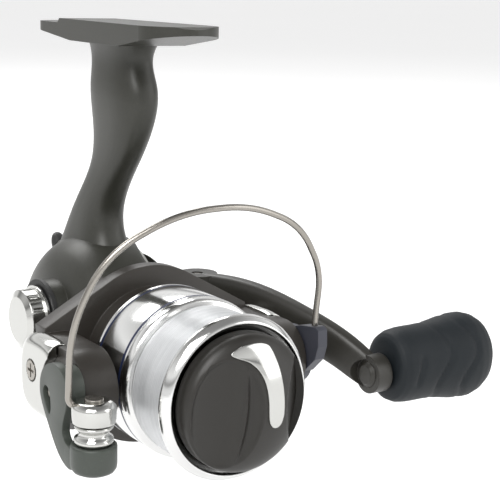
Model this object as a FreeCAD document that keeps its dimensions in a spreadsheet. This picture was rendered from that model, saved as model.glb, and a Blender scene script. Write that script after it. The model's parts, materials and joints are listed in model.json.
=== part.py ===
"""Small spinning reel with a folding crank: a parametric assembly of separate sub-parts.

Frame: millimetres, +Z up out of the foot, -Y towards the drag knob, +X on the crank side.
The origin is the centre of the foot's top face.  Most sub-parts are drawn about the "hub datum",
a point on the spool axis; axis_lead and axis_drop in the sheet say where it lies.
"""
import FreeCAD, Part
import math
import os
import Sketcher
from FreeCAD import Placement, Rotation, Vector

doc = FreeCAD.newDocument("spinning_reel")

# ---------------------------------------------------------------- driving dimensions

DRIVING = {
    # where the spool axis lies, seen from the foot
    "axis_lead": 32.0, "axis_drop": 64.5,
    # foot
    "foot_length": 58.4, "foot_front_width": 15.6, "foot_rear_width": 12.0,
    "foot_depth": 4.2, "toe_depth": 1.5, "rear_toe_step": 0.9, "rear_toe_length": 14.5,
    # crank axis, about the hub datum
    "crank_behind": 37.5, "crank_above": 5.2, "crank_end_behind": -2.6, "crank_end_above": -3.8,
    "gear_shaft_radius": 3.0, "gear_teeth": 46.0, "pinion_teeth": 10.0, "gear_mesh": 11.5,
    # spool
    "lip_radius": 15.3, "lip_front": -11.8, "recess_radius": 13.8, "recess_front": -13.5,
    "skirt_radius": 15.5, "skirt_wall": 1.0, "skirt_front": 1.2, "skirt_rear": 13.5,
    "line_radius": 14.3, "arbor_radius": 10.0, "arbor_bore": 7.6,
    "drag_pot_radius": 7.0, "drag_pot_floor": -5.5,
    # main shaft and pinion
    "main_shaft_radius": 1.5, "pinion_bore": 1.55, "running_gap": 0.05,
    # rotor
    "rotor_radius": 18.0, "rotor_front": 19.2, "rotor_rear": 25.0, "drum_radius": 13.9,
    "drum_front": 8.2, "arm_inner": 17.2, "arm_outer": 24.0, "arm_half_width": 7.2,
    # bail
    "bail_pivot": 6.6, "bail_disc_radius": 5.9, "bail_plate": 2.2, "bail_gap": 0.3,
    "roller_out": 24.4, "roller_front": -5.0, "wire_radius": 0.6,
    # crank arm and knob
    "hinge_out": 22.0, "arm_end_out": 37.8, "knob_shaft_radius": 1.75,
}

sheet = doc.addObject("Spreadsheet::Sheet", "dims")
for row, (alias, number) in enumerate(DRIVING.items(), start=1):
    sheet.set("A%d" % row, alias.replace("_", " "))
    sheet.set("B%d" % row, str(number))
    sheet.setAlias("B%d" % row, alias)
doc.recompute()

nodes = {}


def size(name):
    """A driving dimension, read from the sheet."""
    return float(sheet.get(name))


def worked_out(term):
    """The number that a sheet expression comes to."""
    return float(sheet.evalExpression(str(term)))


def in_sheet_terms(term):
    """An expression on another object, with each alias written as dims.alias."""
    text = str(term)
    for alias in sorted(DRIVING, key=len, reverse=True):
        text = text.replace("<" + alias + ">", "dims." + alias)
    return text


def number(term):
    """The value of a term whose aliases are written <alias>."""
    text = str(term)
    for alias in DRIVING:
        text = text.replace("<" + alias + ">", alias)
    return worked_out(text)


def at_datum(thing, x="0", y="0", z="0", turn=Rotation()):
    """Bind a sub-part's placement to the hub datum plus an offset."""
    thing.Placement = Placement(Vector(0, 0, 0), turn)
    thing.setExpression("Placement.Base.x", in_sheet_terms(x))
    thing.setExpression("Placement.Base.y", in_sheet_terms("(%s) - <axis_lead>" % y))
    thing.setExpression("Placement.Base.z", in_sheet_terms("(%s) - <axis_drop>" % z))
    return thing


AXIS_TURN = {
    "Y": Rotation(),
    "X": Rotation(Vector(0, 0, 1), -90),
    "Z": Rotation(Vector(1, 0, 0), 90),
}


def bound_outline(body, name, outline):
    """A closed sketch of straight runs in the body's XY plane, each point bound to the sheet."""
    sketch = body.newObject("Sketcher::SketchObject", name)
    plane = [f for f in body.Origin.OriginFeatures if f.Role == "XY_Plane"][0]
    sketch.AttachmentSupport = (plane, [""])
    sketch.MapMode = "FlatFace"
    points = [Vector(number(u), number(v), 0) for u, v in outline]
    count = len(points)
    for k in range(count):
        sketch.addGeometry(Part.LineSegment(points[k], points[(k + 1) % count]), False)
    for k in range(count):
        sketch.addConstraint(Sketcher.Constraint("Coincident", k, 2, (k + 1) % count, 1))
    for k, terms in enumerate(outline):
        for kind, axis, term in (("DistanceX", -2, terms[0]), ("DistanceY", -1, terms[1])):
            if abs(number(term)) < 1e-9:
                sketch.addConstraint(Sketcher.Constraint("PointOnObject", k, 1, axis))
                continue
            index = sketch.addConstraint(Sketcher.Constraint(kind, -1, 1, k, 1, number(term)))
            if "<" in str(term):
                sketch.setExpression("Constraints[%d]" % index, in_sheet_terms(term))
    return sketch


def turned(name, outline, axis="Y", centre=("0", "0", "0")):
    """A turned piece: outline is (radius, distance along the axis) pairs."""
    body = doc.addObject("PartDesign::Body", name)
    sketch = bound_outline(body, name + "_outline", outline)
    turning = body.newObject("PartDesign::Revolution", name + "_turning")
    turning.Profile = sketch
    turning.ReferenceAxis = (sketch, ["V_Axis"])
    turning.Angle = 360
    body.Tip = turning
    return at_datum(body, *centre, turn=AXIS_TURN[axis])


def ring(name, inner, outer, start, width, axis="Y", centre=("0", "0", "0")):
    """A plain ring turned about an axis, from start to start + width."""
    end = "%s + %s" % (start, width)
    outline = [(inner, start), (outer, start), (outer, end), (inner, end)]
    return turned(name, outline, axis, centre)


def rod(name, radius, length, axis="Y", centre=("0", "0", "0")):
    """A plain cylinder that starts at centre and runs along an axis."""
    lean = {"Z": Rotation(), "Y": Rotation(Vector(1, 0, 0), -90), "X": Rotation(Vector(0, 1, 0), 90)}
    cylinder = doc.addObject("Part::Cylinder", name)
    cylinder.setExpression("Radius", in_sheet_terms(radius))
    cylinder.setExpression("Height", in_sheet_terms(length))
    return at_datum(cylinder, *centre, turn=lean[axis])


def block(name, lengths, corner):
    """A box from its least corner."""
    box = doc.addObject("Part::Box", name)
    for side, term in zip(("Length", "Width", "Height"), lengths):
        box.setExpression(side, in_sheet_terms(term))
    return at_datum(box, *corner)


def cut(name, base, tool):
    difference = doc.addObject("Part::Cut", name)
    difference.Base = base
    difference.Tool = tool
    difference.Refine = True
    return difference


def grouped(name, pieces):
    """Identical loose pieces kept as one sub-part."""
    compound = doc.addObject("Part::Compound", name)
    compound.Links = pieces
    return compound


def shaped(name, shape, offset=("0", "0", "0")):
    """A free-form piece drawn about the hub datum, or about a point offset from it."""
    feature = doc.addObject("Part::Feature", name)
    feature.Shape = shape
    return at_datum(feature, *offset)


def keep(name, thing):
    """Give a finished sub-part its own name."""
    thing.Label = name
    nodes[name] = thing
    return thing


# ---------------------------------------------------------------- free-form helpers

def oval(centre, across, along, power=2.0, points=28):
    """A closed superellipse: across and along are half-axis vectors."""
    ring = []
    for k in range(points):
        angle = 2 * math.pi * k / points
        c, s = math.cos(angle), math.sin(angle)
        u = math.copysign(abs(c) ** (2 / power), c)
        v = math.copysign(abs(s) ** (2 / power), s)
        ring.append(centre + across * u + along * v)
    curve = Part.BSplineCurve()
    curve.interpolate(Points=ring, PeriodicFlag=True)
    return Part.Wire([curve.toShape()])


def lofted(rings):
    """A smooth solid through closed rings."""
    return Part.makeLoft(rings, True, False)


def cylinder_x(radius, length, start):
    return Part.makeCylinder(radius, length, start, Vector(1, 0, 0))


def cylinder_y(radius, length, start):
    return Part.makeCylinder(radius, length, start, Vector(0, 1, 0))


def cylinder_z(radius, length, start):
    return Part.makeCylinder(radius, length, start, Vector(0, 0, 1))


def rounded_path(corners, share=0.45):
    """Straight runs joined by tangent arcs, as one wire."""
    edges = []
    start = corners[0]
    for before, corner, after in zip(corners, corners[1:], corners[2:]):
        into = (corner - before).normalize()
        out = (after - corner).normalize()
        reach = share * min((corner - before).Length, (after - corner).Length)
        first = corner - into * reach
        last = corner + out * reach
        turn = into.getAngle(out)
        radius = reach / math.tan(turn / 2)
        inward = (out - into).normalize()
        middle = corner + inward * (radius / math.cos(turn / 2) - radius)
        edges.append(Part.LineSegment(start, first).toShape())
        edges.append(Part.Arc(first, middle, last).toShape())
        start = last
    edges.append(Part.LineSegment(start, corners[-1]).toShape())
    return Part.Wire(edges)


def swept_round(path, radius):
    """A round bar along a path."""
    first = path.Edges[0]
    start = first.valueAt(first.FirstParameter)
    heading = first.tangentAt(first.FirstParameter)
    section = Part.Wire([Part.Circle(start, heading, radius).toShape()])
    return path.makePipeShell([section], True, True)


def side_outline(points, near, far):
    """A solid drawn from the side: (y, z) points, from x = near to x = far."""
    loop = [Vector(near, y, z) for y, z in points]
    face = Part.Face(Part.makePolygon(loop + loop[:1]))
    return face.extrude(Vector(far - near, 0, 0))


# ---------------------------------------------------------------- frame: body, stem, foot

CRANK = Vector(0, size("crank_behind"), size("crank_above"))
OSCILLATION = Vector(0, 49.5, 0)
COVER_SPLIT = 8.0
SHAFT_LEFT = -14.6

# y, lowest z, highest z, half width of the gear body
BODY_STATIONS = [
    (25.8, -12.0, 14.0, 11.6),
    (31.0, -13.2, 18.0, 12.4),
    (40.0, -13.6, 20.5, 12.6),
    (49.0, -12.6, 18.6, 11.8),
    (56.0, -11.0, 14.0, 10.0),
    (62.0, -8.6, 8.2, 7.2),
    (65.3, -5.6, 3.6, 4.0),
]

# z, front y, rear y, half width of the stem
STEM_STATIONS = [
    (12.0, 30.0, 56.0, 6.5),
    (19.0, 33.5, 52.5, 5.2),
    (25.0, 35.2, 48.6, 4.4),
    (31.0, 32.4, 44.0, 3.9),
    (37.0, 27.2, 40.6, 3.6),
    (44.0, 22.4, 39.8, 4.1),
    (52.0, 21.2, 40.4, 4.6),
    (61.5, 20.2, 41.4, 5.2),
]


def gear_body():
    rings = []
    for y, low, high, half in BODY_STATIONS:
        middle = Vector(0, y, (low + high) / 2)
        rings.append(oval(middle, Vector(half, 0, 0), Vector(0, 0, (high - low) / 2), 2.5))
    return lofted(rings)


def stem():
    rings = []
    for z, front, rear, half in STEM_STATIONS:
        middle = Vector(0, (front + rear) / 2, z)
        rings.append(oval(middle, Vector(half, 0, 0), Vector(0, (rear - front) / 2, 0), 2.6))
    return lofted(rings)


def foot():
    """The foot: a plan of two round toes, cut to a side profile that thickens towards the stem."""
    top = size("axis_drop")
    front_y = size("axis_lead") - size("foot_length") / 2
    rear_y = size("axis_lead") + size("foot_length") / 2
    front_r = size("foot_front_width") / 2
    rear_r = size("foot_rear_width") / 2
    depth = size("foot_depth")
    toe = size("toe_depth")
    step = size("rear_toe_step")
    shoulder = rear_y - size("rear_toe_length")
    plan = cylinder_z(front_r, depth, Vector(0, front_y + front_r, top - depth))
    plan = plan.fuse(cylinder_z(rear_r, depth, Vector(0, rear_y - rear_r, top - depth)))
    loop = [
        Vector(-front_r, front_y + front_r, top - depth),
        Vector(front_r, front_y + front_r, top - depth),
        Vector(rear_r, rear_y - rear_r, top - depth),
        Vector(-rear_r, rear_y - rear_r, top - depth),
    ]
    middle = Part.Face(Part.makePolygon(loop + loop[:1])).extrude(Vector(0, 0, depth))
    plan = plan.fuse(middle)
    profile = side_outline([
        (front_y, top - toe), (front_y, top - 0.5), (front_y + 1.2, top), (shoulder, top),
        (shoulder + step, top - step), (rear_y, top - step), (rear_y, top - step - toe),
        (41.5, top - depth), (20.0, top - depth),
    ], -front_r, front_r)
    return plan.common(profile)


def chamber():
    """The hollow of the gear body: one room for each gear, the slider's track and the pinion's bore."""
    hollow = cylinder_x(13.9, 11.6, CRANK + Vector(-1.4, 0, 0))
    hollow = hollow.fuse([
        Part.makeBox(7.0, 28.6, 15.2, Vector(-4.0, 30.0, -7.6)),
        cylinder_x(4.8, 6.0, CRANK + Vector(-6.4, 0, 0)),
        cylinder_x(10.1, 2.5, OSCILLATION + Vector(-6.4, 0, 0)),
        cylinder_y(6.15, 7.2, Vector(0, 14.2, 0)),
        cylinder_y(3.6, 20.0, Vector(0, 13.5, 0)),
        cylinder_x(5.5, 2.7, CRANK + Vector(-12.2, 0, 0)),
        cylinder_x(5.5, 3.0, CRANK + Vector(9.8, 0, 0)),
        cylinder_x(3.5, 30.0, CRANK + Vector(-15.6, 0, 0)),
    ])
    return hollow


def side_of_body(solid, left):
    """The part of a solid on one side of the plane where the side cover is split off."""
    reach = 60.0
    corner = Vector(COVER_SPLIT - reach if left else COVER_SPLIT, -20, -40)
    return solid.common(Part.makeBox(reach, 110.0, 120.0, corner))


GUIDE_ROD_HEIGHTS = (-5.6, 5.6)
GUIDE_ROD_RADIUS = 0.7
SCREW_SPOTS = [(27.8, -7.2), (53.0, -6.0), (50.8, 13.2)]
SCREW_RADIUS = 1.0
SCREW_HEAD = 1.9


def screw_x(y, z, head_x, reach):
    """A round-headed screw along X: its head's outer face at head_x."""
    sign = 1 if reach > 0 else -1
    head = cylinder_x(SCREW_HEAD, 1.0, Vector(head_x - (1.0 if sign > 0 else 0.0), y, z))
    shank_start = head_x - sign * 0.9
    low = min(shank_start, shank_start - reach)
    shank = cylinder_x(SCREW_RADIUS, abs(reach), Vector(low, y, z))
    slot = Part.makeBox(0.9, 2.6, 0.5, Vector(head_x - 0.45, y - 1.3, z - 0.25))
    cross = Part.makeBox(0.9, 0.5, 2.6, Vector(head_x - 0.45, y - 0.25, z - 1.3))
    return head.fuse(shank).cut(slot).cut(cross)


def make_frame():
    boss_left = cylinder_x(7.4, 3.4, CRANK + Vector(-14.4, 0, 0))
    boss_right = cylinder_x(7.6, 4.6, CRANK + Vector(8.0, 0, 0))
    front_collar = cylinder_y(8.0, 12.5, Vector(0, 14.0, 0))
    lever_seat = cylinder_y(1.6, 5.0, Vector(0, 54.0, 14.4))
    whole = gear_body().fuse([stem(), foot(), boss_left, boss_right, front_collar, lever_seat])
    hollow = chamber()
    lever_bore = cylinder_y(0.85, 12.0, Vector(0, 50.0, 14.4))
    left = side_of_body(whole, True).cut(hollow).cut(lever_bore)
    left = left.fuse(cylinder_x(1.5, 2.4, OSCILLATION + Vector(-6.6, 0, 0)))
    for z in GUIDE_ROD_HEIGHTS:
        left = left.cut(cylinder_y(GUIDE_ROD_RADIUS, 2.0, Vector(0, 58.0, z)))
    right = side_of_body(whole, False).cut(hollow)
    screws = []
    for y, z in SCREW_SPOTS:
        left = left.cut(cylinder_x(SCREW_RADIUS, 6.0, Vector(COVER_SPLIT - 5.6, y, z)))
        right = right.cut(cylinder_x(SCREW_RADIUS, 20.0, Vector(COVER_SPLIT - 5.0, y, z)))
        right = right.cut(cylinder_x(SCREW_HEAD, 10.0, Vector(10.3, y, z)))
        screws.append(screw_x(y, z, 11.3, 6.4))
    keep("body_housing", shaped("body_housing", left))
    keep("side_cover", shaped("side_cover", right))
    keep("side_cover_screws", shaped("side_cover_screws", Part.makeCompound(screws)))


def bearing(name, inner, outer, width, start, axis="Y", centre=("0", "0", "0")):
    """A shielded ball bearing turned as one ring with a groove on each face."""
    end = "%s + %s" % (start, width)
    low, high = (number("(%s + %s) / 2" % (inner, outer)) + side for side in (-0.5, 0.5))
    outline = [
        (inner, start), (low, start), (low, "%s + 0.25" % start), (high, "%s + 0.25" % start), (high, start),
        (outer, start), (outer, end), (high, end), (high, "%s - 0.25" % end), (low, "%s - 0.25" % end),
        (low, end), (inner, end),
    ]
    return turned(name, outline, axis, centre)


CRANK_LINE = ("0", "<crank_behind>", "<crank_above>")
SHAFT_ROOM = "<gear_shaft_radius> + <running_gap>"


def make_frame_fittings():
    keep("left_bearing", bearing("left_bearing", SHAFT_ROOM, 5.5, 2.5, -12.1, "X", CRANK_LINE))
    keep("right_bearing", bearing("right_bearing", SHAFT_ROOM, 5.5, 2.5, 10.2, "X", CRANK_LINE))
    keep("pinion_bearing", bearing("pinion_bearing", 2.25, 6.15, 2.6, 14.3))
    keep("one_way_clutch", bearing("one_way_clutch", 3.25, 6.15, 3.6, 17.4))
    keep("shaft_seal", ring("shaft_seal", 3.6, 7.7, SHAFT_LEFT - 0.7, 0.9, "X", CRANK_LINE))
    rods = [
        rod("%s_guide_rod" % side, GUIDE_ROD_RADIUS, 18.6, "Y", ("0", "41.4", str(height)))
        for side, height in zip(("lower", "upper"), GUIDE_ROD_HEIGHTS)
    ]
    keep("slider_guide_rods", grouped("slider_guide_rods", rods))


def make_anti_reverse_lever():
    spindle = cylinder_y(0.8, 8.0, Vector(0, 52.0, 14.4))
    paddle = lofted([
        oval(Vector(0, 59.3, 14.4), Vector(1.6, 0, 0), Vector(0, 0, 1.6)),
        oval(Vector(0, 60.6, 14.9), Vector(1.7, 0, 0), Vector(0, 0, 2.1)),
        oval(Vector(0, 61.8, 15.9), Vector(1.2, 0, 0), Vector(0, 0, 1.3)),
    ])
    keep("anti_reverse_lever", shaped("anti_reverse_lever", spindle.fuse(paddle)))


# ---------------------------------------------------------------- gear train

GEAR_FACE = 3.3
TOOTH_WIDTH = 0.5
SMALL_GEAR_TEETH = 12
OSCILLATION_TEETH = 29


def toothed_wheel(centre, teeth, pitch_radius, width, start_x, first_angle):
    """A spur wheel along X: a plain disc with one narrow bar for each tooth."""
    half = 0.5
    wheel = cylinder_x(pitch_radius - half, width, centre + Vector(start_x, 0, 0))
    bars = []
    for k in range(teeth):
        corner = centre + Vector(start_x, pitch_radius - half - 0.3, -0.35)
        bar = Part.makeBox(width, 2 * half + 0.2, 0.7, corner)
        bar.rotate(centre, Vector(1, 0, 0), first_angle + 360.0 * k / teeth)
        bars.append(bar)
    return wheel.fuse(bars)


def oscillation_pair():
    """Pitch radii of the small gear and the oscillation gear, and the direction between them."""
    line = OSCILLATION - CRANK
    whole = SMALL_GEAR_TEETH + OSCILLATION_TEETH
    small = line.Length * SMALL_GEAR_TEETH / whole
    large = line.Length * OSCILLATION_TEETH / whole
    return small, large, math.degrees(math.atan2(line.z, line.y))


def make_drive_gear():
    """A face gear whose bar teeth lie along the pinion, offset from the gear's centre."""
    teeth = int(size("gear_teeth"))
    mesh = size("gear_mesh")
    offset = size("crank_above")
    shaft = size("gear_shaft_radius")
    disc = cylinder_x(13.3, 2.2, CRANK + Vector(GEAR_FACE, 0, 0))
    for k in range(6):
        turn = math.radians(60 * k)
        hole = CRANK + Vector(GEAR_FACE - 1, 7.0 * math.cos(turn), 7.0 * math.sin(turn))
        disc = disc.cut(cylinder_x(2.0, 5.0, hole))
    hub = cylinder_x(4.4, 6.4, CRANK + Vector(GEAR_FACE, 0, 0))
    shaft_bar = cylinder_x(shaft, 27.0, CRANK + Vector(SHAFT_LEFT + 0.8, 0, 0))
    small, large, heading = oscillation_pair()
    small_gear = toothed_wheel(CRANK, SMALL_GEAR_TEETH, small, 1.7, -6.0, heading)
    gear = disc.fuse([hub, shaft_bar, small_gear])
    bars = []
    for k in range(teeth):
        corner = Vector(GEAR_FACE - 0.9, -mesh - 1.2, -offset - TOOTH_WIDTH / 2)
        bar = Part.makeBox(1.0, 2.4, TOOTH_WIDTH, CRANK + corner)
        bar.rotate(CRANK, Vector(1, 0, 0), 360.0 * k / teeth)
        bars.append(bar)
    gear = gear.fuse(bars)
    socket = cylinder_x(1.6, 13.0, CRANK + Vector(SHAFT_LEFT, 0, 0))
    square = Part.makeBox(12.0, 3.2, 3.2, CRANK + Vector(2.0, -1.6, -1.6))
    keep("drive_gear", shaped("drive_gear", gear.cut(socket).cut(square)))


def make_pinion():
    """The pinion: a toothed tube that carries the rotor."""
    teeth = int(size("pinion_teeth"))
    pitch = size("gear_mesh") * size("pinion_teeth") / size("gear_teeth")
    collar = cylinder_y(3.2, 3.8, Vector(0, 17.3, 0))
    root = cylinder_y(pitch - 0.55, 6.4, Vector(0, 23.0, 0))
    tube = cylinder_y(2.2, 18.2, Vector(0, 5.0, 0))
    bars = []
    for k in range(teeth):
        bar = Part.makeBox(1.3, 6.2, TOOTH_WIDTH, Vector(pitch - 0.85, 23.1, -TOOTH_WIDTH / 2))
        bar.rotate(Vector(0, 0, 0), Vector(0, 1, 0), 360.0 * (k + 0.5) / teeth)
        bars.append(bar)
    pinion = tube.fuse([collar, root] + bars)
    bore = cylinder_y(size("pinion_bore"), 40.0, Vector(0, 0, 0))
    keep("pinion_gear", shaped("pinion_gear", pinion.cut(bore)))


ECCENTRIC = 5.2


def make_oscillation_gear():
    """The wheel whose eccentric pin shuttles the slider; the pin stops short of the slider's slot."""
    small, large, heading = oscillation_pair()
    first = heading + 180 + 180.0 / OSCILLATION_TEETH
    wheel = toothed_wheel(OSCILLATION, OSCILLATION_TEETH, large, 1.7, -6.0, first)
    pin = cylinder_x(1.0, 0.5, OSCILLATION + Vector(-4.4, 0, ECCENTRIC))
    wheel = wheel.fuse(pin).cut(cylinder_x(1.55, 4.0, OSCILLATION + Vector(-7, 0, 0)))
    keep("oscillation_gear", shaped("oscillation_gear", wheel))


def make_slider_and_shaft():
    radius = size("main_shaft_radius")
    yoke = Part.makeBox(1.5, 6.0, 14.4, Vector(-3.5, 46.5, -7.2))
    yoke = yoke.cut(Part.makeBox(3.0, 2.2, 12.6, Vector(-4.5, 48.4, -6.3)))
    block_around = Part.makeBox(4.1, 6.0, 14.4, Vector(-2.1, 46.5, -7.2))
    slider = yoke.fuse(block_around).cut(cylinder_y(radius, 10.0, Vector(0, 45.0, 0)))
    for z in GUIDE_ROD_HEIGHTS:
        slider = slider.cut(cylinder_y(GUIDE_ROD_RADIUS + 0.05, 10.0, Vector(0, 45.0, z)))
    keep("oscillation_slider", shaped("oscillation_slider", slider))
    bar = rod("shaft_bar", "<main_shaft_radius>", 64.0, "Y", ("0", "-12.4", "0"))
    flat = block("shaft_flat", (1.0, 4.0, 4.0), ("<main_shaft_radius> - 0.3", "-10.2", "-2"))
    keep("main_shaft", cut("main_shaft", bar, flat))
    keep("spool_support_washer", ring("spool_support_washer", "<main_shaft_radius>", 3.4, -1.2, 1.0))


# ---------------------------------------------------------------- rotor and bail

def rotor_outline():
    """Half-breadth corners where the arms meet the round flange on a common tangent."""
    reach = Vector(size("arm_outer"), 0, size("arm_half_width"))
    radius = size("rotor_radius")
    turn = math.atan2(reach.z, reach.x) + math.acos(radius / reach.Length)
    return reach, Vector(radius * math.cos(turn), 0, radius * math.sin(turn))


def make_rotor():
    radius = size("rotor_radius")
    front = size("rotor_front")
    rear = size("rotor_rear")
    half = size("arm_half_width")
    outer = size("arm_outer")
    inner = size("arm_inner")
    pivot_y = size("bail_pivot")
    reach, tangent = rotor_outline()
    corners = []
    for sx, sz in ((1, 1), (-1, 1), (-1, -1), (1, -1)):
        pair = [Vector(sx * reach.x, front, sz * reach.z), Vector(sx * tangent.x, front, sz * tangent.z)]
        corners += pair if sx * sz > 0 else pair[::-1]
    web = Part.Face(Part.makePolygon(corners + corners[:1])).extrude(Vector(0, rear - front - 1.6, 0))
    flange = cylinder_y(radius, 3.0, Vector(0, front, 0))
    back = Part.makeCone(radius, radius - 3.2, rear - front - 3.0, Vector(0, front + 3.0, 0), Vector(0, 1, 0))
    drum = cylinder_y(size("drum_radius"), front - size("drum_front"), Vector(0, size("drum_front"), 0))
    body = web.fuse([flange, back, drum])
    for sign in (-1, 1):
        near = min(sign * inner, sign * outer)
        bar = Part.makeBox(outer - inner, rear - 1.6 - pivot_y, 2 * half, Vector(near, pivot_y, -half))
        end = cylinder_x(half, outer - inner, Vector(near, pivot_y, 0))
        arm = bar.fuse(end)
        body = body.fuse(arm)
    room = cylinder_y(size("skirt_radius") + 1.2, 36.0, Vector(0, front - 36.0, 0))
    body = body.cut(room.cut(cylinder_y(size("drum_radius"), front, Vector(0, size("drum_front"), 0))))
    body = body.cut(cylinder_y(12.3, 40.0, Vector(0, 10.4, 0)))
    body = body.fuse(cylinder_y(4.6, 3.4, Vector(0, 10.0, 0)))
    body = body.cut(cylinder_y(2.2, 40.0, Vector(0, 0, 0)))
    for sign in (-1, 1):
        start = -outer - 3 if sign < 0 else outer - 1.6
        shelf = Part.makeBox(4.6, 30.0, 30.0, Vector(start, COVER_FRONT, -15.0))
        shelf = shelf.cut(cylinder_x(COVER_CLEAR, 10.0, Vector(start - 1, pivot_y, 0)))
        body = body.cut(shelf)
        low = -outer - 1 if sign < 0 else outer - 4.4
        body = body.cut(cylinder_x(1.2, 5.4, Vector(low, pivot_y, 0)))
        body = body.cut(cylinder_x(0.9, 5.4, Vector(low, COVER_SCREW.y, COVER_SCREW.z)))
    keep("rotor", shaped("rotor", body.cut(spring_room())))


COVER_FRONT = 10.0
COVER_CLEAR = 6.4
COVER_SCREW = Vector(0, 17.6, 1.0)
def spring_room():
    """The pocket shared by the left arm and its cover, in which the bail spring lies."""
    return Part.makeBox(4.0, 3.2, 8.4, Vector(-size("arm_outer") - 0.8, 12.8, -4.2))


BAIL_SPRING = ("0.9 - <arm_outer>", "14.4", "-3.3")


def make_arm_covers():
    """A bright shell over the root of each rotor arm, hollowed round the bail plate's disc."""
    half = size("arm_half_width") + 0.4
    outer = size("arm_outer")
    rear = size("rotor_rear") - 1.2
    pivot_y = size("bail_pivot")
    for sign, name in ((-1, "left_arm_cover"), (1, "right_arm_cover")):
        rings = []
        for x, shrink in ((outer - 1.6, 0.0), (outer + 0.4, 0.0), (outer + 1.5, 0.9), (outer + 2.0, 2.6)):
            middle = Vector(sign * x, (COVER_FRONT - 3.0 + rear) / 2, 0)
            rings.append(oval(middle, Vector(0, (rear - COVER_FRONT + 3.0) / 2 - shrink, 0),
                              Vector(0, 0, half - shrink * 0.8), 3.2))
        shell = lofted(rings)
        start = sign * outer - 6
        shell = shell.cut(cylinder_x(COVER_CLEAR, 12.0, Vector(start, pivot_y, 0)))
        front = Part.makeBox(12.0, 12.0, 30.0, Vector(start, COVER_FRONT - 12.0 + 0.6, -15.0))
        shell = shell.cut(front)
        hole_start = sign * (outer + 2.4)
        low = min(hole_start, hole_start - sign * 6.0)
        shell = shell.cut(cylinder_x(0.9, 6.0, Vector(low, COVER_SCREW.y, COVER_SCREW.z)))
        sink = sign * (outer + 1.2)
        low = min(sink, sink + sign * 3.0)
        shell = shell.cut(cylinder_x(2.2, 3.0, Vector(low, COVER_SCREW.y, COVER_SCREW.z)))
        if sign < 0:
            shell = shell.cut(spring_room())
        keep(name, shaped(name, shell))
    screws = []
    for sign in (-1, 1):
        head = cylinder_x(1.9, 0.9, Vector(min(sign * (outer + 1.2), sign * (outer + 2.1)),
                                           COVER_SCREW.y, COVER_SCREW.z))
        shank = cylinder_x(0.9, 4.6, Vector(min(sign * (outer + 1.3), sign * (outer - 3.3)),
                                            COVER_SCREW.y, COVER_SCREW.z))
        top = min(sign * (outer + 1.7), sign * (outer + 2.1))
        cross = Part.makeBox(0.4, 2.6, 0.5, Vector(top, COVER_SCREW.y - 1.3, COVER_SCREW.z - 0.25))
        cross = cross.fuse(Part.makeBox(0.4, 0.5, 2.6, Vector(top, COVER_SCREW.y - 0.25, COVER_SCREW.z - 1.3)))
        screws.append(head.fuse(shank).cut(cross))
    keep("arm_cover_screws", shaped("arm_cover_screws", Part.makeCompound(screws)))


def make_rotor_fittings():
    hexagon = [Vector(4.6 * math.cos(math.radians(60 * k)), 5.5, 4.6 * math.sin(math.radians(60 * k)))
               for k in range(6)]
    nut = Part.Face(Part.makePolygon(hexagon + hexagon[:1])).extrude(Vector(0, 2.6, 0))
    nut = nut.cut(cylinder_y(2.2, 6.0, Vector(0, 4.0, 0)))
    keep("rotor_nut", shaped("rotor_nut", nut))
    pivots = []
    outer = size("arm_outer")
    pivot_y = size("bail_pivot")
    for sign in (-1, 1):
        head = cylinder_x(2.6, 0.7, Vector(min(sign * (outer + 2.6), sign * (outer + 3.3)), pivot_y, 0))
        sleeve = cylinder_x(1.8, 2.6, Vector(min(sign * outer, sign * (outer + 2.6)), pivot_y, 0))
        shank = cylinder_x(1.2, 4.4, Vector(min(sign * outer, sign * (outer - 4.4)), pivot_y, 0))
        pivots.append(head.fuse([sleeve, shank]))
    keep("bail_pivot_screws", shaped("bail_pivot_screws", Part.makeCompound(pivots)))


def make_bail_spring():
    """The over-centre spring under the left arm cover."""
    helix = Part.makeHelix(1.1, 6.6, 1.0)
    path = Part.Wire(helix.Edges)
    start = path.Edges[0].valueAt(path.Edges[0].FirstParameter)
    heading = path.Edges[0].tangentAt(path.Edges[0].FirstParameter)
    section = Part.Wire([Part.Circle(start, heading, 0.22).toShape()])
    coil = path.makePipeShell([section], True, True)
    keep("bail_spring", shaped("bail_spring", coil, BAIL_SPRING))


ROLLER = Vector(-size("roller_out"), size("roller_front"), 0)
CUP_TOP = -6.3
BAIL_HEEL = [(11.2, -3.3), (10.2, -5.6), (6.6, -9.3), (2.6, -11.7), (-4.0, -11.7),
             (-4.0, -6.5), (-0.6, -6.5), (1.6, -3.3)]
HEEL_THICK = 1.5


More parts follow.
